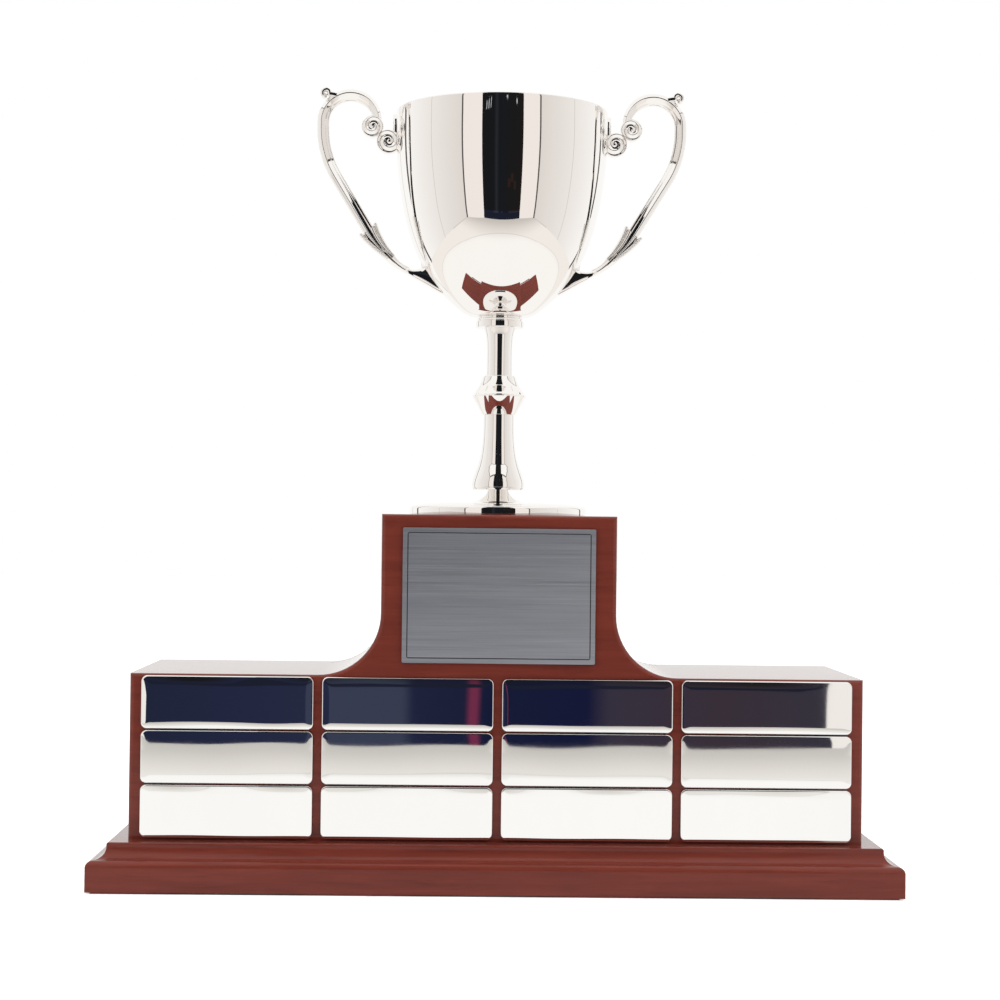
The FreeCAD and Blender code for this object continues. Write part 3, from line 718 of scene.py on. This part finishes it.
def mount_foot(shell):
    """The plain three-cornered foot that sits on the bowl: flat cheeks under a sloping upper edge."""
    upper = seated_curve([
        (56.6, 33.0), (51.3, 27.8), (47.2, 24.8), (43.7, 23.4), (41.3, 23.3), (38.8, 24.0),
    ], 25.1, 26.7)
    cheek = seated_curve([
        (57.0, 31.8), (51.2, 26.1), (47.0, 23.0), (44.0, 22.0), (41.5, 21.9), (39.5, 22.0),
    ], 22.2, 22.4)
    lower = seated_curve([
        (57.3, 31.0), (51.2, 25.2), (46.6, 21.6), (43.2, 19.5), (39.8, 17.7), (36.0, 15.6),
    ], 13.4, 11.4)
    count = len(upper)
    points = []
    for i in range(count):
        half = 3.3 + 1.9 * min(1.0, i / (count - 1) / 0.35)
        high, edge, low = Vector(upper[i]), Vector(cheek[i]), Vector(lower[i])
        ring = [
            (high, 0.0), (high + (edge - high) * 0.06, 0.3), (high + (edge - high) * 0.6, 0.84),
            (edge, 0.985), (edge + (low - edge) * 0.1, 1.0), (low + (edge - low) * 0.16, 1.0), (low, 0.88),
        ]
        outline = [(spot, -side) for spot, side in ring] + [(spot, side) for spot, side in reversed(ring[1:])]
        for (reach, z), side in outline:
            y = side * half
            if i == count - 1:
                reach = math.sqrt((bowl_radius(z) + SEAT_GAP) ** 2 - y * y)
            points.append((reach, y, z))
    around = len(points) // count
    faces = [tuple(range(around))[::-1]] + tube_faces(around, count, 0, True)
    faces.append(tuple(range((count - 1) * around, count * around)))
    shell.add(points, faces)


def bowl_tongue(shell):
    """The slim leaf lying up the side of the bowl."""
    count = 30
    shares = ease(0.0, 1.0, count)
    path = [(bowl_radius(z) + 0.2, z) for z in ease(SMALL_CENTRE[1] + 1.0, RIM_TOP - 1.6, count)]
    widths = [0.5 + 1.0 * math.sin(math.pi * (0.2 + 0.6 * share)) for share in shares]
    depths = [0.7 + 2.6 * math.sin(math.pi * (0.2 + 0.75 * share)) for share in shares]
    sweep(shell, path, widths, depths, flat_section())


def thumb_scroll(shell):
    """The small curled thumb piece on the shoulder of the arch."""
    outer = ARCH_RADIUS + ARM_HALF
    reach = outer + THUMB - 1.0
    centre = (ARCH_CENTRE[0] + 0.66 * reach, ARCH_CENTRE[1] + 0.75 * reach)
    root = [polar(ARCH_CENTRE, outer - 1.6, 62), polar(ARCH_CENTRE, outer - 0.3, 57)]
    curl = [polar(centre, THUMB - 1.4 - 0.006 * i, 205 - 3.5 * i) for i in range(4, 74)]
    path = smooth_curve(root + curl[:4], 6)[:-1] + curl[4:]
    count = len(path)
    sweep(shell, path, ease(1.35, 1.0, count, 0.9), ease(3.6, 3.1, count), flat_section())
    ball(shell, (path[-1][0] - 0.4, 0.0, path[-1][1]), (1.35, 3.4, 1.35), 10)


def clear_of_bowl(shell):
    """Seats the handle on the bowl: no point lies inside the bowl's outer surface."""
    seated = []
    for x, y, z in shell.points:
        limit = bowl_radius(z) + SEAT_GAP
        reach = math.hypot(x, y)
        if BOWL_BOTTOM < z < RIM_TOP and reach < limit:
            across = math.sqrt(max(limit * limit - y * y, 0.0))
            x = math.copysign(across, x)
        seated.append((x, y, z))
    shell.points = seated


def build_handles():
    shell = Shell()
    path, lower_centre = arm_path()
    widths = ease(0.62 * ARM_HALF, ARM_HALF, ROOT_STEPS + 1)
    widths += [ARM_HALF] * (len(path) - len(widths) - SPAN_STEPS)
    widths += [lower_half(angle) for angle in LOWER_ANGLES]
    sweep(shell, path, widths, [ARM_DEPTH] * len(path), ridged_section())
    volute(shell, LARGE_CENTRE, LARGE_VOLUTE, 170, 1)
    volute(shell, SMALL_CENTRE, SMALL_VOLUTE, 40, -1)
    thumb_scroll(shell)
    leaf_ribs(shell, lower_centre)
    mount_foot(shell)
    bowl_tongue(shell)
    clear_of_bowl(shell)
    finish_piece(shell.object("handle_right_cast", 62), NICKEL, "nickel", "handle_right")
    finish_piece(shell.mirrored().object("handle_left_cast", 62), NICKEL, "nickel", "handle_left")


# ---- plates ----
def rounded_distance(x, z, half_width, half_height, corner):
    """Distance inside the edge of a rounded rectangle."""
    dx, dz = abs(x) - half_width + corner, abs(z) - half_height + corner
    outside = math.hypot(max(dx, 0.0), max(dz, 0.0))
    return corner - outside - min(max(dx, dz), 0.0)


def round_corner(x, z, half_width, half_height, corner):
    """Moves a point of a square grid so that the grid's outline has round corners."""
    a = (abs(x) - half_width + corner) / corner
    b = (abs(z) - half_height + corner) / corner
    if a <= 0 or b <= 0:
        return x, z
    across = a * math.sqrt(1 - b * b / 2)
    up = b * math.sqrt(1 - a * a / 2)
    return (
        math.copysign(half_width - corner + across * corner, x),
        math.copysign(half_height - corner + up * corner, z),
    )


def edge_line(half, spacing):
    """Positions from edge to edge: close together at the rolled edges, even in between."""
    near = [0.0, 0.05, 0.12, 0.2, 0.3, 0.42, 0.56, 0.75, 1.0, 1.35, 1.8, 2.3, 2.9, 3.6, 4.4]
    middle = half - near[-1]
    count = max(2, round(2 * middle / spacing))
    inner = ease(-middle, middle, count + 1)[1:-1]
    return [s - half for s in near] + inner + [half - s for s in reversed(near)]


def plate_rise(inside, above, full):
    """Height of the pressed face above the back, from the distance in from its edge and below its top."""
    lip, roll, reach = 0.3, 0.55, 4.6
    fall = 0.016 + 0.05 * min(max(above / 9.0, 0.0), 1.0)
    share = min(max(inside - roll, 0.0) / reach, 1.0)
    face = full - fall * reach / 3 * (1 - share) ** 3
    if inside >= roll:
        return face
    turn = 1 - inside / roll
    return lip + (face - lip) * math.sqrt(max(0.0, 1 - turn * turn))


def plate_face(node):
    """Middle and half sizes of a plate's face: x, z, half width, half height."""
    low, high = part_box(node)
    middle = ((low[0] + high[0]) / 2 / MM, (low[2] + high[2]) / 2 / MM)
    return (*middle, (high[0] - low[0]) / 2 / MM, (high[2] - low[2]) / 2 / MM)


def domed_plate(node, seed):
    """A pressed plate: nearly flat, with a faint fall to its edges and a tight roll round them."""
    centre_x, centre_z, half_width, half_height = plate_face(node)
    low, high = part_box(node)
    back, thickness = high[1] / MM, high[1] / MM - low[1] / MM
    corner, wave_height, wave_room = 2.8, 0.028, 0.03
    random.seed(seed)
    waves = []
    for _ in range(3):
        waves.append((random.uniform(0.05, 0.13), random.uniform(0.02, 0.07), random.uniform(0, 6.28)))
    columns, rows = edge_line(half_width, 1.0), edge_line(half_height, 0.9)
    width, depth = len(columns), len(rows)
    points = []
    for z in rows:
        for x in columns:
            px, pz = round_corner(x, z, half_width, half_height, corner)
            inside = max(0.0, rounded_distance(px, pz, half_width, half_height, corner))
            uneven = sum(math.sin(px * a + pz * b + c) for a, b, c in waves) / 3
            height = plate_rise(inside, half_height - pz, thickness - wave_room)
            height += wave_height * uneven * min(inside / 3, 1.0)
            points.append((centre_x + px, back - min(height, thickness), centre_z + pz))
    faces = grid_faces(width, depth)
    rim = grid_rim(width, depth)
    first = len(points)
    points += [(points[index][0], back, points[index][2]) for index in rim]
    count = len(rim)
    for i in range(count):
        j = (i + 1) % count
        faces.append((rim[i], first + i, first + j, rim[j]))
    faces.append(tuple(range(first + count - 1, first - 1, -1)))
    shell = Shell()
    shell.add(points, faces)
    finish_piece(shell.object(node + "_pressed", 75), PLATE_NICKEL, "mirror_plate", node)


def frame_strip(shell, half_width, half_height, strip, front, back, centre_z):
    """A thin rectangular frame standing between two depths."""
    def corners(inset, y):
        w, h = half_width - inset, half_height - inset
        return [(-w, y, centre_z - h), (w, y, centre_z - h), (w, y, centre_z + h), (-w, y, centre_z + h)]
    rings = [corners(0, front), corners(strip, front), corners(strip, back), corners(0, back)]
    points = [point for ring in rings for point in ring]
    faces = []
    for i in range(4):
        j = (i + 1) % 4
        for r in range(4):
            s = (r + 1) % 4
            faces.append((4 * r + i, 4 * r + j, 4 * s + j, 4 * s + i))
    shell.add(points, faces)


def build_plates():
    for row in range(3):
        for column in range(4):
            domed_plate("name_plate_%d_%d" % (row + 1, column + 1), 10 * row + column)
    margin, line = 2.1, 0.5
    _, centre_z, half_width, half_height = plate_face("header_plate")
    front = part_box("header_plate")[0][1] / MM
    shell = Shell()
    frame_strip(shell, half_width - margin, half_height - margin, line, front + 0.02, front + 0.11, centre_z)
    finish_piece(shell.object("header_plate_border"), BORDER, "brushed_plate")
    paint("header_plate", BRUSHED)


# ---- felt ----
def build_felt():
    low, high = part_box("felt_base")
    x0, y0, x1, y1 = low[0] / MM, low[1] / MM, high[0] / MM, high[1] / MM
    columns, rows, longest_fray = 60, 24, 0.25
    width, depth = columns + 1, rows + 1
    random.seed(7)
    points = []
    for level in (0.0, high[2] / MM):
        for i in range(depth):
            for j in range(width):
                edge = i in (0, rows) or j in (0, columns)
                fray = random.uniform(0.0, longest_fray) if edge else 0.0
                x = x0 + (x1 - x0) * j / columns
                y = y0 + (y1 - y0) * i / rows
                points.append((x - math.copysign(fray, x), y - math.copysign(fray, y), level))
    layer = width * depth
    faces = grid_faces(width, depth, 0, True) + grid_faces(width, depth, layer)
    rim = grid_rim(width, depth)
    for a, b in zip(rim, rim[1:] + rim[:1]):
        faces.append((a, b, layer + b, layer + a))
    shell = Shell()
    shell.add(points, faces)
    piece = shell.object("felt_sheet")
    finish_piece(piece, FELT, "felt", "felt_base")


# ---- construction nodes that keep their shape ----
def paint(node, material):
    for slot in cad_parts[node].material_slots:
        slot.material = material


def paint_nodes():
    timber = ["front_board", "back_board", "top_panel", "plinth", "base_cleat_front", "base_cleat_back"]
    for name in ("end_panel", "shoulder_panel", "cove_block", "header_side"):
        timber += [name + "_left", name + "_right"]
    for node in timber:
        paint(node, MAHOGANY)
    fasteners = ["tie_rod", "bowl_washer", "bowl_nut", "base_washer", "base_nut"]
    for node in fasteners + ["handle_screws", "plinth_screws"]:
        paint(node, STEEL)
    paint("foot_core", CAST_CORE)
    for node in ("name_plate_adhesive", "header_plate_adhesive"):
        paint(node, FOAM)


# ---- stage, in metres ----
TENT_HEIGHT = 0.8
TENT_LEFT = [(-0.585, -0.63), (-0.68, -0.307), (-0.712, -0.12), (-0.712, 0.54)]
TENT_RIGHT = [(0.54, -0.66), (0.645, -0.394), (0.71, -0.12), (0.705, 0.62)]
OPENING_LEFT, OPENING_RIGHT = (-0.282, -0.712), (0.272, -0.712)


def glow(name, colour):
    made = Nodes(name)
    made.emit(colour)
    return made.material


def graded_glow(name, front, back, front_colour, back_colour):
    """A glow whose colour runs from one place to another along Y."""
    made = Nodes(name)
    made.emit(made.mix(made.remap(made.coordinate(1), front, back, 0.0, 1.0), front_colour, back_colour))
    return made.material


def sheet_of_stage(name, corners, material, reflected_only=True):
    mesh = bpy.data.meshes.new(name)
    mesh.from_pydata(corners, [], [(0, 1, 2, 3)])
    piece = bpy.data.objects.new(name, mesh)
    bpy.context.scene.collection.objects.link(piece)
    mesh.materials.append(material)
    if reflected_only:
        for ray in ("camera", "diffuse", "shadow", "transmission"):
            setattr(piece, "visible_" + ray, False)


def upright(name, start, end, material, top=TENT_HEIGHT, bottom=0.0):
    """A standing sheet between two floor points, seen only in reflections."""
    corners = [(*start, bottom), (*end, bottom), (*end, top), (*start, top)]
    sheet_of_stage(name, corners, material)


def level_sheet(name, corners, height, material):
    """The same, lying level over four floor points."""
    sheet_of_stage(name, [(*corner, height) for corner in corners], material)


def moved(place, dx, dy=0.0):
    return (place[0] + dx, place[1] + dy)


def roof_line(name, start, end, line):
    """A thin dark strip just under the roof."""
    upright("roof_line_" + name, start, end, line, TENT_HEIGHT, TENT_HEIGHT - 0.02)


def opening_view():
    """The dim room behind the opening: navy near the floor, nearly black higher up."""
    made = Nodes("tent_opening")
    across = made.remap(made.coordinate(0), OPENING_LEFT[0], OPENING_RIGHT[0], 0.0, 1.0)
    low = made.ramp(across, [
        (0.0, (0.015, 0.019, 0.043)), (0.19, (0.018, 0.021, 0.053)), (0.27, (0.02, 0.024, 0.055)),
        (0.285, (0.04, 0.047, 0.083)), (0.4, (0.04, 0.047, 0.083)), (0.415, (0.014, 0.017, 0.047)),
        (0.49, (0.011, 0.014, 0.04)), (0.496, (0.16, 0.026, 0.065)), (0.504, (0.16, 0.026, 0.065)),
        (0.51, (0.009, 0.012, 0.038)), (0.66, (0.008, 0.01, 0.038)), (0.69, (0.038, 0.031, 0.05)),
        (0.85, (0.042, 0.03, 0.042)), (1.0, (0.037, 0.033, 0.048)),
    ])
    high = made.ramp(across, [
        (0.0, (0.01, 0.01, 0.011)), (0.3, (0.009, 0.01, 0.012)), (0.36, (0.021, 0.023, 0.028)),
        (0.42, (0.009, 0.011, 0.014)), (1.0, (0.013, 0.011, 0.01)),
    ])
    made.emit(made.mix(made.remap(made.coordinate(2), 0.05, 0.075, 0.0, 1.0), low, high))
    return made.material


def build_tent_sides(line):
    side = graded_glow("tent_side", -0.64, 0.4, (0.76, 0.715, 0.68), (0.985, 0.965, 0.945))
    for name, run in (("left", TENT_LEFT), ("right", TENT_RIGHT)):
        for number, (start, end) in enumerate(zip(run, run[1:])):
            upright("tent_%s_%d" % (name, number), start, end, side)
            inward = -math.copysign(0.004, start[0])
            roof_line("%s_%d" % (name, number), moved(start, inward), moved(end, inward), line)


def build_tent_ends(line):
    """The back, and the front strips on either side of the opening."""
    strip = glow("tent_front", (0.91, 0.85, 0.81))
    fronts = [("front_left", TENT_LEFT[0], OPENING_LEFT), ("front_right", OPENING_RIGHT, TENT_RIGHT[0])]
    upright("tent_far", TENT_LEFT[-1], TENT_RIGHT[-1], glow("tent_back", (1.0, 0.99, 0.975)))
    for name, start, end in fronts:
        upright("tent_" + name, start, end, strip)
    for name, start, end in fronts:
        roof_line(name, moved(start, 0.0, 0.004), moved(end, 0.0, 0.004), line)
    upright("tent_opening", OPENING_LEFT, OPENING_RIGHT, opening_view())


def build_tent_folds(line):
    """The lines where sheets meet or fold."""
    seam = glow("tent_seam", (0.66, 0.62, 0.59))
    for name, run, way in (("left", TENT_LEFT, 1), ("right", TENT_RIGHT, -1)):
        front, fold, back = run[0], run[2], run[-1]
        start, end = moved(front, way * 0.002, 0.02), moved(front, way * 0.018, 0.002)
        upright("corner_front_" + name, start, end, line)
        start, end = moved(back, way * 0.003, -0.045), moved(back, way * 0.04, -0.003)
        upright("corner_back_" + name, start, end, line)
        upright("fold_back_" + name, moved(back, way * 0.325, -0.01), moved(back, way * 0.345, -0.01), seam)
        upright("skirting_" + name, moved(front, way * 0.006, 0.006), moved(run[1], way * 0.006), seam, 0.008)
        upright("corner_shadow_" + name, back, moved(back, way * 0.03), line, 0.02)
        upright("seam_" + name, moved(fold, way * 0.005, -0.005), moved(fold, way * 0.005, 0.005), seam)


def build_room():
    """What shows in the opening: warm embers, slanting lamps high up, and a dark sill."""
    ember = glow("room_ember", (0.028, 0.015, 0.012))
    for number, (x, z) in enumerate([(0.07, 0.19), (0.11, 0.21), (0.15, 0.18)]):
        upright("room_ember_%d" % number, (x, -0.7), (x + 0.035, -0.7), ember, z + 0.035, z)
    lamp = glow("room_lamp", (0.5, 0.53, 0.55))
    lamp_y, lamp_top = -0.705, 0.508
    streaks = [
        (-0.225, 0.01, 0.5, 0.008), (-0.195, 0.01, 0.5, 0.008), (-0.165, 0.008, 0.5, 0.008),
        (0.04, 0.018, 0.5045, 0.0), (0.165, 0.016, 0.5045, 0.0),
    ]
    for number, (left, wide, low, lean) in enumerate(streaks):
        corners = [(left, lamp_y, low), (left + wide, lamp_y, low)]
        corners += [(left + wide + lean, lamp_y, lamp_top), (left + lean, lamp_y, lamp_top)]
        sheet_of_stage("room_lamp_%d" % number, corners, lamp)
    sill_corners = [OPENING_LEFT, OPENING_RIGHT, (0.232, -0.6), (-0.24, -0.6)]
    level_sheet("tent_sill", sill_corners, 0.055, glow("tent_sill", (0.012, 0.014, 0.027)))


def build_tent_roof():
    """The roof, with a dark slot near its front."""
    slot_corners = [(-0.2, -0.712), (0.19, -0.712), (0.17, -0.3), (-0.18, -0.3)]
    level_sheet("tent_slot", slot_corners, TENT_HEIGHT - 0.01, glow("tent_slot", (0.012, 0.012, 0.013)))
    roof_corners = [(-0.74, -0.74), (0.74, -0.74), (0.74, 0.66), (-0.74, 0.66)]
    level_sheet("tent_roof", roof_corners, TENT_HEIGHT, glow("tent_roof", (1.0, 0.985, 0.965)))


def build_tent():
    """A white light tent with an opening in front, which the polished metal reflects."""
    line = glow("tent_corner", (0.1, 0.09, 0.085))
    build_tent_sides(line)
    build_tent_ends(line)
    build_tent_folds(line)
    build_room()
    build_tent_roof()


def floor_reflection(made):
    """The floor as polished metal sees it, painted as a glow: white, greyer towards the front with painted
    shade, with a round turntable.
    """
    place = made.node("ShaderNodeTexCoord")
    reach = made.node("ShaderNodeVectorMath", operation="LENGTH")
    made.link(place.outputs["Object"], reach.inputs[0])
    table = made.ramp(reach.outputs["Value"], [
        (0.0, (1.0, 0.985, 0.965)), (0.47, (1.0, 0.975, 0.945)), (0.5175, (0.97, 0.94, 0.9)),
        (0.519, (0.74, 0.71, 0.68)), (0.523, (0.74, 0.71, 0.68)), (0.5245, (0.93, 0.89, 0.85)),
    ])
    # Painted shade: the glow greys towards the front of the floor.
    depth = made.ramp(made.remap(made.coordinate(1), -0.75, -0.4, 0.0, 1.0), [
        (0.0, (0.6, 0.59, 0.58)), (0.25, (0.66, 0.65, 0.64)), (0.55, (0.84, 0.83, 0.82)),
        (0.85, (0.98, 0.98, 0.98)), (1.0, (1.0, 1.0, 1.0)),
    ])
    return made.mix(1.0, table, depth, "MULTIPLY")


def build_floor():
    """White floor that keeps the shadow and glows a little to the camera, like lit paper."""
    made = Nodes("floor")
    made.set(Roughness=0.9, Base_Color=(0.86, 0.86, 0.86, 1.0))
    rays = made.node("ShaderNodeLightPath")
    seen = made.node("ShaderNodeMath", operation="MULTIPLY")
    seen.inputs[1].default_value = 0.5
    made.link(rays.outputs["Is Camera Ray"], seen.inputs[0])
    glowing = made.node("ShaderNodeEmission")
    made.feed((1.0, 0.99, 0.97), glowing.inputs["Color"])
    made.link(seen.outputs["Value"], glowing.inputs["Strength"])
    lit = made.node("ShaderNodeAddShader")
    made.link(made.shader.outputs["BSDF"], lit.inputs[0])
    made.link(glowing.outputs["Emission"], lit.inputs[1])
    mirrored = made.node("ShaderNodeEmission")
    made.link(floor_reflection(made), mirrored.inputs["Color"])
    chosen = made.node("ShaderNodeMixShader")
    made.link(rays.outputs["Is Glossy Ray"], chosen.inputs[0])
    made.link(lit.outputs["Shader"], chosen.inputs[1])
    made.link(mirrored.outputs["Emission"], chosen.inputs[2])
    made.link(chosen.outputs["Shader"], made.output.inputs["Surface"])
    size = 6.0
    corners = [(-size, -size, 0), (size, -size, 0), (size, size, 0), (-size, size, 0)]
    sheet_of_stage("floor", corners, made.material, False)


def build_world():
    world = bpy.data.worlds.new("studio")
    bpy.context.scene.world = world
    world.use_nodes = True
    tree = world.node_tree
    background = tree.nodes["Background"]
    fill(background, {"Color": (1.0, 1.0, 1.0, 1.0)})
    rays = tree.nodes.new("ShaderNodeLightPath")
    direct = tree.nodes.new("ShaderNodeMath")
    direct.operation = "MAXIMUM"
    tree.links.new(rays.outputs["Is Camera Ray"], direct.inputs[0])
    tree.links.new(rays.outputs["Is Glossy Ray"], direct.inputs[1])
    strength = tree.nodes.new("ShaderNodeMapRange")
    fill(strength, {"To Min": 0.72, "To Max": 1.0})
    tree.links.new(direct.outputs["Value"], strength.inputs["Value"])
    tree.links.new(strength.outputs["Result"], background.inputs["Strength"])


def softbox(name, place, size, power):
    """A square light that faces the object and isn't mirrored."""
    light = bpy.data.lights.new(name, "AREA")
    light.shape = "RECTANGLE"
    light.size = light.size_y = size
    light.energy = power
    lamp = bpy.data.objects.new(name, light)
    bpy.context.scene.collection.objects.link(lamp)
    lamp.location = place
    lamp.rotation_euler = (Vector((0, 0, 0.15)) - Vector(place)).to_track_quat("-Z", "Y").to_euler()
    lamp.visible_glossy = False
    lamp.visible_camera = False


def build_lights():
    softbox("softbox_left", (-1.0, -0.6, 0.9), 0.8, 6.0)
    softbox("softbox_right", (1.0, -0.6, 0.9), 0.8, 7.0)
    softbox("softbox_top", (0.0, -0.1, 1.5), 1.0, 8.0)


def build_camera():
    """Slightly left of the middle, level with the top of the block, looking in from the front."""
    camera = bpy.data.cameras.new("camera")
    camera.sensor_width = 36.0
    camera.lens = 76.0
    viewer = bpy.data.objects.new("camera", camera)
    bpy.context.scene.collection.objects.link(viewer)
    viewer.location = (-0.0205, -1.0375, 0.1675)
    yaw, pitch, roll = math.radians(1.19), math.radians(0.82), math.radians(-0.66)
    forward = Vector((math.sin(yaw) * math.cos(pitch), math.cos(yaw) * math.cos(pitch), math.sin(pitch)))
    turn = forward.to_track_quat("-Z", "Y")
    viewer.rotation_mode = "QUATERNION"
    viewer.rotation_quaternion = turn @ Euler((0, 0, -roll)).to_quaternion()
    bpy.context.scene.camera = viewer


bpy.context.scene.view_settings.view_transform = "Standard"
build_camera()
build_world()
build_floor()
build_tent()
build_lights()
build_bowl()
build_foot()
build_lower_stem()
build_knop()
build_upper_stem()
build_cap()
build_handles()
build_plates()
build_felt()
paint_nodes()
